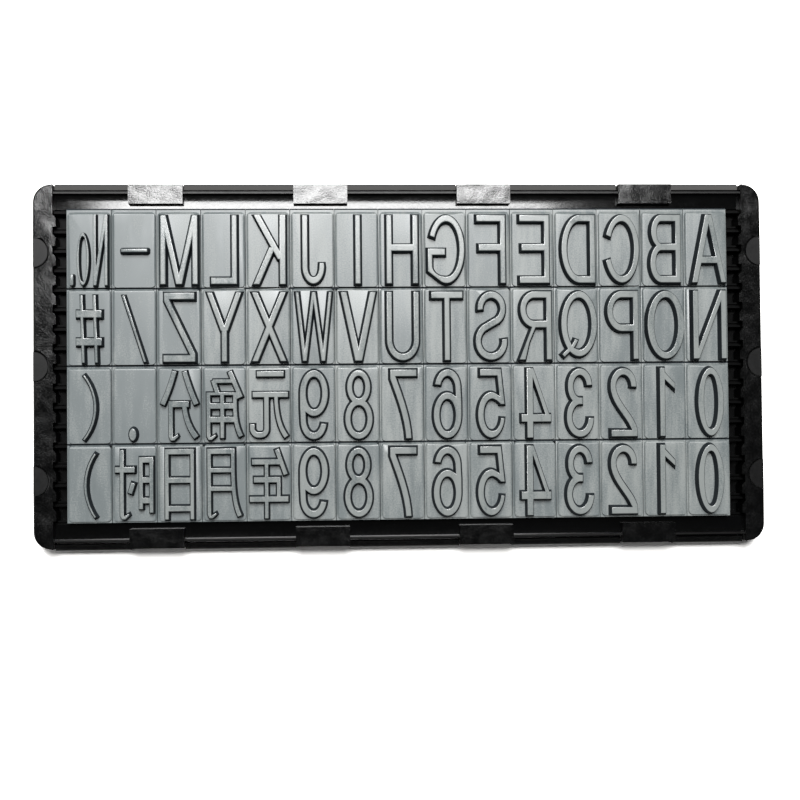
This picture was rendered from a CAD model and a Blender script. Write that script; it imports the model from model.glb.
import math

import bmesh
import bpy
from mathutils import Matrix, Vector


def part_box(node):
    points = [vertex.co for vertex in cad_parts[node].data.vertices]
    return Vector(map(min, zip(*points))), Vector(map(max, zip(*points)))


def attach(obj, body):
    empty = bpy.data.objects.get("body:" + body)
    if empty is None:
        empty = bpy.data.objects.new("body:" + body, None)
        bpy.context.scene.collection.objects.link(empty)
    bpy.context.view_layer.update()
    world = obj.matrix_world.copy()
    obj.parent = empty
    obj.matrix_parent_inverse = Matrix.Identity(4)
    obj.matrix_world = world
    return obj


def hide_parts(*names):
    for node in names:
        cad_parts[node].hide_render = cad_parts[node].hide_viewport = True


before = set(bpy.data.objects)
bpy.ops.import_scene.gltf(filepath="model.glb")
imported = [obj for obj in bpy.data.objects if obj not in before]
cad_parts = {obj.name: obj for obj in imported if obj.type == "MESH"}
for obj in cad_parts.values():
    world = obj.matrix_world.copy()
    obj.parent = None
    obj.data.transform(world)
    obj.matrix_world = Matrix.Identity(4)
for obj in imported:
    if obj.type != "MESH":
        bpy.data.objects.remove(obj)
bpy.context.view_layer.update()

mm = 0.001
near = 0.01              # in mm: points this close to a plane lie on it


# Working habits: deselect everything, open one piece, pick by place, close it

copyFlat = 0.4           # in degrees: neighbouring faces of the CAD mesh this level are one face
sliver = 0.002           # in mm: edges this short are taken out


def deselectAll():
    bpy.ops.object.select_all(action="DESELECT")


def openPiece(piece, selectMode="FACE"):
    deselectAll()
    piece.select_set(True)
    bpy.context.view_layer.objects.active = piece
    bpy.ops.object.mode_set(mode="EDIT")
    bpy.ops.mesh.select_mode(type=selectMode)
    bpy.ops.mesh.select_all(action="DESELECT")


def closePiece():
    bpy.ops.object.mode_set(mode="OBJECT")
    deselectAll()


def pickFaces(piece, test):
    bm = bmesh.from_edit_mesh(piece.data)
    for face in bm.faces:
        face.select_set(test(face))
    bmesh.update_edit_mesh(piece.data)


def pickEdges(piece, test):
    bm = bmesh.from_edit_mesh(piece.data)
    for edge in bm.edges:
        edge.select_set(test(edge.verts[0].co / mm, edge.verts[1].co / mm, edge))
    bmesh.update_edit_mesh(piece.data)


def pickPoints(piece, test):
    bm = bmesh.from_edit_mesh(piece.data)
    for vert in bm.verts:
        vert.select_set(test(vert.co / mm))
    bm.select_flush_mode()
    bmesh.update_edit_mesh(piece.data)


def copyNode(node, name, merge):
    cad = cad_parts[node]
    piece = bpy.data.objects.new(name, cad.data.copy())
    bpy.context.scene.collection.objects.link(piece)
    piece.data.materials.clear()
    openPiece(piece)
    bpy.ops.mesh.select_all(action="SELECT")
    bpy.ops.mesh.customdata_custom_splitnormals_clear()
    bpy.ops.mesh.remove_doubles(threshold=merge * mm)
    bpy.ops.mesh.dissolve_limited(angle_limit=math.radians(copyFlat))
    closePiece()
    return piece


# Slivers and doubled points left by bevels and cuts are taken out before the piece is shaded
def smoothBy(piece, degrees):
    openPiece(piece)
    bpy.ops.mesh.select_all(action="SELECT")
    bpy.ops.mesh.remove_doubles(threshold=sliver * mm)
    bpy.ops.mesh.dissolve_degenerate(threshold=sliver * mm)
    closePiece()
    piece.select_set(True)
    bpy.context.view_layer.objects.active = piece
    bpy.ops.object.shade_smooth_by_angle(angle=math.radians(degrees))
    flatter = piece.modifiers.new("flatFaces", "WEIGHTED_NORMAL")
    flatter.keep_sharp = True
    bpy.ops.object.modifier_apply(modifier="flatFaces")
    deselectAll()


# Camera: the photograph's place above the set, a little left of and below its middle

cameraView = {
    "place": (-0.010642, -0.010350, 0.202889),
    "turn": (0.0269, -0.0514, -0.0094),
    "lens": 63.0,
}

bpy.ops.object.camera_add(location=cameraView["place"], rotation=cameraView["turn"])
camera = bpy.context.object
camera.name = "photoCamera"
camera.data.lens = cameraView["lens"]
camera.data.clip_start = 0.005
bpy.context.scene.camera = camera
print("camera set")


# Shader helpers and the node groups that the materials share

def newMaterial(name):
    material = bpy.data.materials.new(name)
    material.use_nodes = True
    return material, material.node_tree.nodes, material.node_tree.links


def addNode(nodes, kind, **values):
    node = nodes.new(kind)
    for key, value in values.items():
        if key in node.inputs:
            node.inputs[key].default_value = value
        else:
            setattr(node, key, value)
    return node


def newGroup(name, inputs, outputs):
    group = bpy.data.node_groups.new(name, "ShaderNodeTree")
    for label, kind, value in inputs:
        socket = group.interface.new_socket(name=label, in_out="INPUT", socket_type=kind)
        socket.default_value = value
    for label, kind in outputs:
        group.interface.new_socket(name=label, in_out="OUTPUT", socket_type=kind)
    start = group.nodes.new("NodeGroupInput")
    end = group.nodes.new("NodeGroupOutput")
    return group, group.nodes, group.links, start, end


def placeGroup(nodes, group, **values):
    node = nodes.new("ShaderNodeGroup")
    node.node_tree = group
    for label, value in values.items():
        node.inputs[label].default_value = value
    return node


# Mottle: soft clouds crossed by fine grain, as a value round one half
def mottleGroup():
    group, nodes, links, start, end = newGroup(
        "mottle",
        [("Cloud Scale", "NodeSocketFloat", 300.0), ("Grain Scale", "NodeSocketFloat", 4000.0),
         ("Grain Share", "NodeSocketFloat", 0.4), ("Stretch", "NodeSocketVector", (1, 1, 1))],
        [("Value", "NodeSocketFloat")],
    )
    place = nodes.new("ShaderNodeTexCoord")
    stretch = addNode(nodes, "ShaderNodeVectorMath", operation="MULTIPLY")
    cloud = addNode(nodes, "ShaderNodeTexNoise", Detail=3.0, Roughness=0.55)
    grain = addNode(nodes, "ShaderNodeTexNoise", Detail=2.0, Roughness=0.6)
    both = addNode(nodes, "ShaderNodeMix", data_type="FLOAT")
    links.new(place.outputs["Object"], stretch.inputs[0])
    links.new(start.outputs["Stretch"], stretch.inputs[1])
    links.new(stretch.outputs[0], cloud.inputs["Vector"])
    links.new(place.outputs["Object"], grain.inputs["Vector"])
    links.new(start.outputs["Cloud Scale"], cloud.inputs["Scale"])
    links.new(start.outputs["Grain Scale"], grain.inputs["Scale"])
    links.new(start.outputs["Grain Share"], both.inputs[0])
    links.new(cloud.outputs[0], both.inputs[2])
    links.new(grain.outputs[0], both.inputs[3])
    links.new(both.outputs[0], end.inputs["Value"])
    return group


mottle = mottleGroup()
mottleSpan = (0.3, 0.7)    # the values that nearly all of the mottle falls between


def cloudyRoughness(nodes, links, clouds, roughness):
    rough = addNode(nodes, "ShaderNodeMapRange")
    rough.inputs["From Min"].default_value, rough.inputs["From Max"].default_value = mottleSpan
    rough.inputs["To Min"].default_value, rough.inputs["To Max"].default_value = roughness
    links.new(clouds.outputs["Value"], rough.inputs["Value"])
    return rough.outputs["Result"]


print("node groups made")


# Floor, lamps and world

studio = {
    "floorSize": 1.0,
    "floorDrop": 0.02,                     # in mm: the floor lies this far under the tray
    "floorColour": (0.86, 0.85, 0.83, 1),
    "floorSeen": (2.50, 2.48, 2.43, 1),    # as the camera sees it: a white background
    "floorMirrored": 0.26,                 # share of that in reflections
    "windowPlace": (-0.02, 0.408, 0.95),
    "windowSize": (0.40, 0.50),
    "windowPower": 12.4,
    "sidePlace": (-0.75, 0.0, 0.55),
    "sideSize": (0.5, 0.5),
    "sidePower": 0.7,
    "worldGrey": 0.03,
}


def makeFloor():
    bpy.ops.mesh.primitive_plane_add(size=studio["floorSize"], location=(0, 0, -studio["floorDrop"] * mm))
    floor = bpy.context.object
    floor.name = "floor"
    material, nodes, links = newMaterial("whiteTable")
    nodes.clear()
    out = nodes.new("ShaderNodeOutputMaterial")
    diffuse = nodes.new("ShaderNodeBsdfDiffuse")
    path = nodes.new("ShaderNodeLightPath")
    mirrored = addNode(nodes, "ShaderNodeMath", operation="MAXIMUM")
    dimmed = addNode(nodes, "ShaderNodeMath", operation="MULTIPLY")
    dimmed.inputs[1].default_value = studio["floorMirrored"]
    seen = addNode(nodes, "ShaderNodeMath", operation="MAXIMUM")
    colour = addNode(nodes, "ShaderNodeMix", data_type="RGBA")
    colour.inputs[6].default_value = studio["floorColour"]
    colour.inputs[7].default_value = studio["floorSeen"]
    links.new(path.outputs["Is Glossy Ray"], mirrored.inputs[0])
    links.new(path.outputs["Is Transmission Ray"], mirrored.inputs[1])
    links.new(mirrored.outputs[0], dimmed.inputs[0])
    links.new(path.outputs["Is Camera Ray"], seen.inputs[0])
    links.new(dimmed.outputs[0], seen.inputs[1])
    links.new(seen.outputs[0], colour.inputs[0])
    links.new(colour.outputs[2], diffuse.inputs["Color"])
    links.new(diffuse.outputs[0], out.inputs["Surface"])
    floor.data.materials.append(material)


def makeWorld():
    world = bpy.data.worlds.new("room")
    world.use_nodes = True
    nodes, links = world.node_tree.nodes, world.node_tree.links
    nodes.clear()
    out = nodes.new("ShaderNodeOutputWorld")
    back = nodes.new("ShaderNodeBackground")
    path = nodes.new("ShaderNodeLightPath")
    level = addNode(nodes, "ShaderNodeMapRange")
    level.inputs["To Min"].default_value = studio["worldGrey"]
    level.inputs["To Max"].default_value = 1.0
    back.inputs["Color"].default_value = (1, 1, 1, 1)
    links.new(path.outputs["Is Camera Ray"], level.inputs["Value"])
    links.new(level.outputs["Result"], back.inputs["Strength"])
    links.new(back.outputs[0], out.inputs["Surface"])
    bpy.context.scene.world = world


def makeLamp(name, place, size, power):
    bpy.ops.object.light_add(type="AREA", location=place)
    lamp = bpy.context.object
    lamp.name = name
    lamp.data.energy = power
    lamp.data.shape = "RECTANGLE"
    lamp.data.size, lamp.data.size_y = size
    lamp.rotation_euler = (-Vector(place)).to_track_quat("-Z", "Y").to_euler()


makeFloor()
makeWorld()
makeLamp("windowLamp", studio["windowPlace"], studio["windowSize"], studio["windowPower"])
makeLamp("sideLamp", studio["sidePlace"], studio["sideSize"], studio["sidePower"])
bpy.context.scene.view_settings.view_transform = "Standard"
print("floor, lamps and world set")


# Rubber types

rubber = {
    "dark": (0.172, 0.199, 0.203, 1),
    "light": (0.306, 0.330, 0.322, 1),
    "wall": (0.020, 0.025, 0.029, 1),       # old ink and grime on the steep walls
    "wallSpread": 1.6,                      # the walls' lightest spots, as a multiple of that
    "specular": 0.68,
    "wallSpecular": 0.15,
    "wallRoughness": 0.7,
    "cloudScale": 260.0,
    "grainScale": 5200.0,
    "grainShare": 0.45,
    "wallGrainShare": 0.6,
    "streak": (3.0, 0.5, 1.0),              # clouds drawn out along the rows' height
    "roughness": (0.26, 0.44),
    "topPolish": 0.14,                      # how much smoother the characters' tops are
    "topTint": 0.12,                        # and how much lighter
    "typeTint": 0.05,                       # difference between the types
    "typeTurn": 2.4,                        # radians from one type's tint to the next one's
    "leftTint": 0.14,                       # the types at the left end are a darker batch
    "leftEnd": (-15.0, -35.0),
    "contrast": (0.40, 0.61),               # the span of mottle from dark to light
    "bump": 0.22,
    "bumpDepth": 0.02,
}

typeShape = {
    "relief": 1.2,                # height of the character over its pad
    "padHeight": 0.3,
    "cadMerge": 0.02,             # points of the CAD mesh that come this close become one
    "merge": 0.03,                # the same for the outlines of the drafted walls
    "padReach": (0.06, 0.15),     # how far the foot of the pad's wall runs out, left and up
    "padMargin": 0.12,            # that foot is at least this far inside the flange
    "padCuts": (0.30, 0.25, 0.15, 0.06),    # cuts along the pad's edges
    "padRoll": 0.25,              # width of the strip where the pad's top rolls off
    "padDrop": 0.13,
    "sideSoft": 0.08,             # rounding of the flange's left edge
    "upperSoft": 0.22,            # rounding of its upper edge, which is stained like the walls
    "smoothAngle": 35,
    "steep": 0.93,                # faces over the pad that face up by less than this are walls
    "edgeTilt": (0.1, 0.98),      # the stained upper edge faces up between these
    "edgeLean": 0.2,              # and faces the row above by more than this
    "wall": [                     # the drafted wall, as steps inwards and upwards
        (0.05, 0.03), (0.05, 0.12), (0.11, 0.82), (0.05, 0.16), (0.05, 0.05),
        (0.055, 0.012), (0.055, 0.007)
    ],
    "fineShare": {                # narrow characters have steeper walls
        "type_no_sign": 0.60, "type_hash": 0.85, "type_slash": 0.85, "type_cent": 0.65,
        "type_dime": 0.75, "type_yuan": 0.80, "type_hour": 0.75, "type_day": 0.80,
        "type_month": 0.80, "type_year": 0.80, "digit_4_upper": 0.80, "digit_4_lower": 0.80,
        "type_k": 0.85,
    },
}


def rubberMaterial():
    material, nodes, links = newMaterial("typeRubber")
    shader = nodes["Principled BSDF"]
    shader.inputs["Specular IOR Level"].default_value = rubber["specular"]
    clouds = placeGroup(nodes, mottle, **{
        "Cloud Scale": rubber["cloudScale"], "Grain Scale": rubber["grainScale"],
        "Grain Share": rubber["grainShare"], "Stretch": rubber["streak"],
    })
    tint = addNode(nodes, "ShaderNodeAttribute", attribute_name="tint")
    onTop = addNode(nodes, "ShaderNodeAttribute", attribute_name="onTop")
    shifted = addNode(nodes, "ShaderNodeMath", operation="ADD")
    colour = addNode(nodes, "ShaderNodeMix", data_type="RGBA")
    colour.inputs[6].default_value = rubber["dark"]
    colour.inputs[7].default_value = rubber["light"]
    spread = addNode(nodes, "ShaderNodeMapRange")
    spread.inputs["From Min"].default_value, spread.inputs["From Max"].default_value = rubber["contrast"]
    polished = addNode(nodes, "ShaderNodeMath", operation="MULTIPLY_ADD")
    polished.inputs[1].default_value = -rubber["topPolish"]
    bump = addNode(nodes, "ShaderNodeBump", Strength=rubber["bump"], Distance=rubber["bumpDepth"] * mm)
    links.new(clouds.outputs["Value"], shifted.inputs[0])
    links.new(tint.outputs["Fac"], shifted.inputs[1])
    links.new(shifted.outputs[0], spread.inputs["Value"])
    links.new(spread.outputs["Result"], colour.inputs[0])
    links.new(colour.outputs[2], shader.inputs["Base Color"])
    links.new(onTop.outputs["Fac"], polished.inputs[0])
    links.new(cloudyRoughness(nodes, links, clouds, rubber["roughness"]), polished.inputs[2])
    links.new(polished.outputs[0], shader.inputs["Roughness"])
    links.new(clouds.outputs["Value"], bump.inputs["Height"])
    links.new(bump.outputs["Normal"], shader.inputs["Normal"])
    return material


# The walls of the characters are stained almost black
def wallMaterial():
    material, nodes, links = newMaterial("inkedWall")
    shader = nodes["Principled BSDF"]
    shader.inputs["Specular IOR Level"].default_value = rubber["wallSpecular"]
    shader.inputs["Roughness"].default_value = rubber["wallRoughness"]
    clouds = placeGroup(nodes, mottle, **{
        "Cloud Scale": rubber["cloudScale"], "Grain Scale": rubber["grainScale"],
        "Grain Share": rubber["wallGrainShare"],
    })
    colour = addNode(nodes, "ShaderNodeMix", data_type="RGBA")
    colour.inputs[6].default_value = rubber["wall"]
    colour.inputs[7].default_value = [rubber["wallSpread"] * part for part in rubber["wall"][:3]] + [1]
    links.new(clouds.outputs["Value"], colour.inputs[0])
    links.new(colour.outputs[2], shader.inputs["Base Color"])
    return material


# The character's top goes down to the pad and comes up again with drafted walls
def raiseCharacter(piece, top, share):
    openPiece(piece)
    pickFaces(piece, lambda face: face.calc_center_median().z > top - near * mm)
    bpy.ops.transform.translate(value=(0, 0, -typeShape["relief"] * mm))
    for face in bmesh.from_edit_mesh(piece.data).faces:
        face.material_index = 1 if face.select else 0
    bpy.ops.mesh.select_all(action="SELECT")
    bpy.ops.mesh.remove_doubles(threshold=sliver * mm)
    pickFaces(piece, lambda face: face.material_index == 1)
    for inwards, upwards in typeShape["wall"]:
        bpy.ops.mesh.inset(thickness=inwards * share * mm, depth=upwards * mm, use_even_offset=True)
        bpy.ops.mesh.remove_doubles(threshold=typeShape["merge"] * mm)
        bpy.ops.mesh.dissolve_degenerate(threshold=0.5 * sliver * mm)
    for face in bmesh.from_edit_mesh(piece.data).faces:
        face.material_index = 0
    closePiece()


# The pad's top rolls off towards its left, right and upper edges
def rollPad(piece, low, high):
    padTop = (high.z / mm) - typeShape["relief"]
    width = typeShape["padRoll"]

    def onPad(place):
        return abs(place.z - padTop) < near and low.y / mm < place.y < high.y / mm

    openPiece(piece)
    places = [vert.co / mm for vert in bmesh.from_edit_mesh(piece.data).verts if onPad(vert.co / mm)]
    left, right = min(place.x for place in places), max(place.x for place in places)
    upper = max(place.y for place in places)
    for cut in typeShape["padCuts"]:
        for place, normal in (((left + cut, 0, 0), (1, 0, 0)), ((right - cut, 0, 0), (1, 0, 0)),
                              ((0, upper - cut, 0), (0, 1, 0))):
            pickFaces(piece, lambda face: all(onPad(vert.co / mm) for vert in face.verts))
            bpy.ops.mesh.bisect(plane_co=Vector(place) * mm, plane_no=normal)
    bm = bmesh.from_edit_mesh(piece.data)
    for vert in bm.verts:
        place = vert.co / mm
        if onPad(place):
            inside = min(place.x - left, right - place.x, upper - place.y, width)
            vert.co.z -= typeShape["padDrop"] * (1 - inside / width) ** 2 * mm
    bmesh.update_edit_mesh(piece.data)
    closePiece()


# The foot of the pad's wall runs out to the left and up, and those edges of the flange are soft
def softenFlange(piece, low, high):
    flangeTop = (high.z / mm) - typeShape["relief"] - typeShape["padHeight"]
    left, upper = low.x / mm, high.y / mm
    right, lower = high.x / mm, low.y / mm
    margin = typeShape["padMargin"]

    def onFlangeTop(place):
        return abs(place.z - flangeTop) < near and lower - near < place.y < upper + near

    openPiece(piece)
    pickPoints(piece, lambda place: onFlangeTop(place) and left + margin < place.x < right - near
               and lower + near < place.y < upper - margin)
    reachX, reachY = typeShape["padReach"]
    bpy.ops.transform.resize(
        value=(1 + reachX / (right - left), 1 + reachY / (upper - lower), 1),
        center_override=(high.x, low.y, flangeTop * mm))
    closePiece()
    openPiece(piece, "EDGE")
    pickEdges(piece, lambda a, b, edge: onFlangeTop(a) and onFlangeTop(b)
              and min(a.y, b.y) > upper - near)
    bpy.ops.mesh.bevel(offset=typeShape["upperSoft"] * mm, segments=3, affect="EDGES")
    pickEdges(piece, lambda a, b, edge: onFlangeTop(a) and onFlangeTop(b)
              and max(a.x, b.x) < left + near)
    bpy.ops.mesh.bevel(offset=typeShape["sideSoft"] * mm, segments=2, affect="EDGES")
    closePiece()


# Steep faces above the pad and the flange's upper edge get the stained finish, the tops their polish
def finishFaces(piece, padTop, tint):
    mesh = piece.data
    edgeLow, edgeHigh = typeShape["edgeTilt"]
    tone = mesh.attributes.new("tint", "FLOAT", "FACE")
    onTop = mesh.attributes.new("onTop", "FLOAT", "FACE")
    for face in mesh.polygons:
        above = face.center.z > padTop + 0.5 * near * mm
        steep = face.normal.z < typeShape["steep"]
        upperEdge = (padTop - face.center.z < (typeShape["padHeight"] + typeShape["upperSoft"]) * mm
                     and face.center.z < padTop - typeShape["padHeight"] * mm
                     and edgeLow < face.normal.z < edgeHigh and face.normal.y > typeShape["edgeLean"])
        face.material_index = 1 if (above and steep) or upperEdge else 0
        onTop.data[face.index].value = 1.0 if above and not steep else 0.0
        tone.data[face.index].value = tint + (rubber["topTint"] if above else 0.0)


def pieceName(node):
    return "rubber" + "".join(word.capitalize() for word in node.split("_"))


# The corners of each type in a node: the pair of zeros fills the cells of two rows
def cellsOf(node):
    low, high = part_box(node)
    if node != "digit_0_pair":
        return [(low, high)]
    rows = [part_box("digit_1_upper"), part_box("digit_1_lower")]
    return [(Vector((low.x, row[0].y, low.z)), Vector((high.x, row[1].y, high.z))) for row in rows]


def typeTone(x, order):
    start, end = rubber["leftEnd"]
    toLeft = min(1.0, max(0.0, (start - x) / (start - end)))
    return rubber["typeTint"] * math.sin(rubber["typeTurn"] * order) - rubber["leftTint"] * toLeft


def makeType(node, materials, order):
    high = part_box(node)[1]
    piece = copyNode(node, pieceName(node), typeShape["cadMerge"])
    raiseCharacter(piece, high.z, typeShape["fineShare"].get(node, 1.0))
    for low, top in cellsOf(node):
        rollPad(piece, low, top)
        softenFlange(piece, low, top)
    smoothBy(piece, typeShape["smoothAngle"])
    finishFaces(piece, high.z - typeShape["relief"] * mm, typeTone(high.x / mm, order))
    for material in materials:
        piece.data.materials.append(material)
    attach(piece, node)
    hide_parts(node)


typeMaterials = [rubberMaterial(), wallMaterial()]
for order, node in enumerate(sorted(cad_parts)):
    if node != "tray":
        makeType(node, typeMaterials, order)
print("types shaped")


# Tray

trayShape = {
    "cadMerge": 0.002,
    "softEdge": 0.06,
    "rimEdge": 0.3,               # rounding of the rims' outer edges
    "rimWidth": 2.6,
    "railEdge": 0.22,             # rounding of the rails' outer edges
    "lipHeights": (2.0, 3.0),     # those edges lie between these heights
    "longEdge": 1.0,              # and are longer than this
    "upright": 0.1,               # faces that face up or down by less than this are side walls
    "bedDepth": 1.0,              # the ribs and grooves lie at least this far under the rims
    "typesEnd": 46.9,             # the grooves beyond the last types are dull
    "groovesEnd": 22.2,
    "edgeAngle": 35,
    "smoothAngle": 40,
}

trayFinish = {
    "colour": (0.0012, 0.0013, 0.0014, 1),
    "cloudScale": 520.0,
    "bumpDepth": 0.02,
    "waveScale": 350.0,           # slow waves in the moulded tops, which break up reflections
    "waveDepth": 0.07,
    "topDepth": 0.1,              # faces down to here under the rims are tops
    "markDepth": 0.3,             # and down to here ejector marks and the rails' crests
    "grooveDepth": 0.5,
    "top": 0.9,                   # tops face up by more than this
    "mark": 0.5,                  # marks and crests by more than this
    "steep": 0.7,                 # and walls by less than this
}

plastics = {
    "polishedPlastic": {"gloss": 0.7, "roughness": (0.06, 0.12), "bump": 0.12,
                        "grainScale": 2500.0, "grainShare": 0.6, "waves": 0.0},
    "grainedPlastic": {"gloss": 0.7, "roughness": (0.05, 0.27), "bump": 1.0,
                       "grainScale": 4500.0, "grainShare": 0.5, "waves": 1.0},
    "dullPlastic": {"gloss": 0.3, "roughness": (0.30, 0.40), "bump": 0.1,
                    "grainScale": 2500.0, "grainShare": 0.6, "waves": 0.0},
    "groovePlastic": {"gloss": 0.07, "roughness": (0.30, 0.40), "bump": 0.1,
                      "grainScale": 2500.0, "grainShare": 0.6, "waves": 0.0},
}


def plasticMaterial(name, plastic):
    material, nodes, links = newMaterial(name)
    shader = nodes["Principled BSDF"]
    shader.inputs["Base Color"].default_value = trayFinish["colour"]
    shader.inputs["Specular IOR Level"].default_value = plastic["gloss"]
    clouds = placeGroup(nodes, mottle, **{
        "Cloud Scale": trayFinish["cloudScale"], "Grain Scale": plastic["grainScale"],
        "Grain Share": plastic["grainShare"],
    })
    place = nodes.new("ShaderNodeTexCoord")
    wave = addNode(nodes, "ShaderNodeTexNoise", Scale=trayFinish["waveScale"], Detail=1.0)
    slope = addNode(nodes, "ShaderNodeBump", Strength=plastic["waves"],
                    Distance=trayFinish["waveDepth"] * mm)
    bump = addNode(nodes, "ShaderNodeBump", Strength=plastic["bump"],
                   Distance=trayFinish["bumpDepth"] * mm)
    links.new(cloudyRoughness(nodes, links, clouds, plastic["roughness"]), shader.inputs["Roughness"])
    links.new(place.outputs["Object"], wave.inputs["Vector"])
    links.new(wave.outputs[0], slope.inputs["Height"])
    links.new(slope.outputs["Normal"], bump.inputs["Normal"])
    links.new(clouds.outputs["Value"], bump.inputs["Height"])
    links.new(bump.outputs["Normal"], shader.inputs["Normal"])
    return material


# Rounded outer edges on the rims and the rails, then a small rounding on every other sharp edge
def roundTray(piece, high):
    rimX = high.x - trayShape["rimWidth"]
    lipLow, lipHigh = trayShape["lipHeights"]

    def facesOut(face):
        middle = face.calc_center_median()
        upright = abs(face.normal.z) < trayShape["upright"]
        return upright and face.normal.x * middle.x + face.normal.y * middle.y > 0

    openPiece(piece, "EDGE")
    pickEdges(piece, lambda a, b, edge: min(a.z, b.z) > high.z - near
              and min(abs(a.x), abs(b.x)) > rimX and any(facesOut(face) for face in edge.link_faces))
    bpy.ops.mesh.bevel(offset=trayShape["rimEdge"] * mm, segments=4, affect="EDGES")
    pickEdges(piece, lambda a, b, edge: min(abs(a.y), abs(b.y)) > high.y - near
              and lipLow < min(a.z, b.z) and max(a.z, b.z) < lipHigh
              and abs(a.x - b.x) > trayShape["longEdge"])
    bpy.ops.mesh.bevel(offset=trayShape["railEdge"] * mm, segments=3, affect="EDGES")
    closePiece()
    cutBed(piece, high)
    softEdge = piece.modifiers.new("softEdge", "BEVEL")
    softEdge.width = trayShape["softEdge"] * mm
    softEdge.segments = 2
    softEdge.limit_method = "ANGLE"
    softEdge.angle_limit = math.radians(trayShape["edgeAngle"])
    deselectAll()
    piece.select_set(True)
    bpy.context.view_layer.objects.active = piece
    bpy.ops.object.modifier_apply(modifier="softEdge")


# The ribs and grooves are cut where the types end, so that their ends can have another finish
def cutBed(piece, high):
    bedTop = high.z - trayShape["bedDepth"]
    for side in (-1, 1):
        openPiece(piece)
        pickFaces(piece, lambda face: face.normal.z > trayFinish["top"]
                  and face.calc_center_median().z / mm < bedTop)
        bpy.ops.mesh.bisect(plane_co=(side * trayShape["typesEnd"] * mm, 0, 0), plane_no=(1, 0, 0))
        closePiece()


def plasticOf(face, high):
    depth = high.z - face.center.z / mm
    up = face.normal.z
    if up > trayFinish["top"] and depth < trayFinish["topDepth"]:
        return "grainedPlastic"
    if (depth > trayFinish["grooveDepth"] and abs(face.center.x / mm) > trayShape["typesEnd"]
            and abs(face.center.y / mm) < trayShape["groovesEnd"]):
        return "groovePlastic"
    if up < trayFinish["steep"]:
        return "dullPlastic"
    if up > trayFinish["mark"] and trayFinish["topDepth"] < depth < trayFinish["markDepth"]:
        return "dullPlastic"
    return "polishedPlastic"


def makeTray():
    piece = copyNode("tray", "blackTray", trayShape["cadMerge"])
    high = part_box("tray")[1] / mm
    roundTray(piece, high)
    smoothBy(piece, trayShape["smoothAngle"])
    for name, plastic in plastics.items():
        piece.data.materials.append(plasticMaterial(name, plastic))
    order = list(plastics)
    for face in piece.data.polygons:
        face.material_index = order.index(plasticOf(face, high))
    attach(piece, "tray")
    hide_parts("tray")


makeTray()
print("tray shaped")
